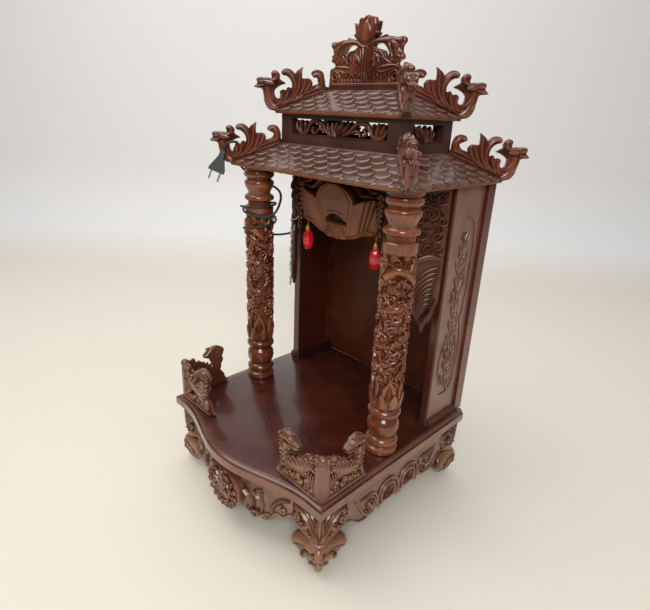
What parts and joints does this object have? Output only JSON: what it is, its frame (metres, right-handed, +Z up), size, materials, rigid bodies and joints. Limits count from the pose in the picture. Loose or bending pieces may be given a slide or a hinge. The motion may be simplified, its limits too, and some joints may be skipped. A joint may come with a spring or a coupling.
{
  "type": "household altar",
  "caption": "Open wooden floor altar with a bowed footed base, dragon columns, corner galleries and a tiered hipped roof with curled finials, lit by hanging lamps.",
  "frame": {"origin": "middle of the footprint at floor level, under the middle of the overall box", "axes": "+X to the right seen from the front, +Y from the open front to the back panel, +Z up"},
  "size_m": [0.5278, 0.5344, 0.934],
  "materials": {
    "carved_wood": "carved hardwood, brown stain under satin lacquer",
    "shaded_wood": "hardwood, dark stain under satin lacquer",
    "red_wood": "hardwood board, reddish stain under gloss lacquer",
    "red_lamp": "clear red faceted plastic",
    "lamp_brass": "thin brass cap",
    "cord_pvc": "smooth flexible PVC",
    "plug_plastic": "moulded plastic with a fine satin surface",
    "pin_metal": "nickel-plated pins"
  },
  "bodies": {
    "root": {"base_board": "red_wood", "apron_front": "carved_wood", "apron_back": "shaded_wood", "apron_left": "carved_wood", "apron_right": "carved_wood", "lion_boss": "shaded_wood", "foot_front_left": "carved_wood", "foot_front_right": "carved_wood", "foot_back_left": "carved_wood", "foot_back_right": "carved_wood", "gallery_posts": "red_wood", "gallery_front_left": "carved_wood", "gallery_front_right": "carved_wood", "gallery_side_left": "carved_wood", "gallery_side_right": "carved_wood", "column_left": "carved_wood", "column_right": "carved_wood", "side_panel_left": "red_wood", "side_panel_right": "red_wood", "back_panel": "shaded_wood", "back_stiles": "shaded_wood", "floor_cleats": "shaded_wood", "base_strips": "red_wood", "canopy": "carved_wood", "wing_left": "shaded_wood", "wing_right": "shaded_wood", "lower_soffit": "shaded_wood", "lower_slope_front": "carved_wood", "lower_slope_back": "carved_wood", "lower_slope_left": "carved_wood", "lower_slope_right": "carved_wood", "lower_ledge": "carved_wood", "lower_finial_front_left": "carved_wood", "lower_finial_front_right": "carved_wood", "lower_finial_back_left": "carved_wood", "lower_finial_back_right": "carved_wood", "clerestory_front": "carved_wood", "clerestory_back": "carved_wood", "clerestory_left": "carved_wood", "clerestory_right": "carved_wood", "clerestory_frets": "shaded_wood", "upper_soffit": "shaded_wood", "upper_slope_front": "carved_wood", "upper_slope_back": "carved_wood", "upper_slope_left": "carved_wood", "upper_slope_right": "carved_wood", "ridge_cap": "carved_wood", "upper_finial_front_left": "carved_wood", "upper_finial_front_right": "carved_wood", "upper_finial_back_left": "carved_wood", "upper_finial_back_right": "carved_wood", "ridge_crest": "carved_wood", "lamp_bulbs": "red_lamp", "lamp_caps": "lamp_brass", "power_cord": "cord_pvc", "plug_body": "plug_plastic", "plug_pins": "pin_metal"}
  },
  "joints": []
}
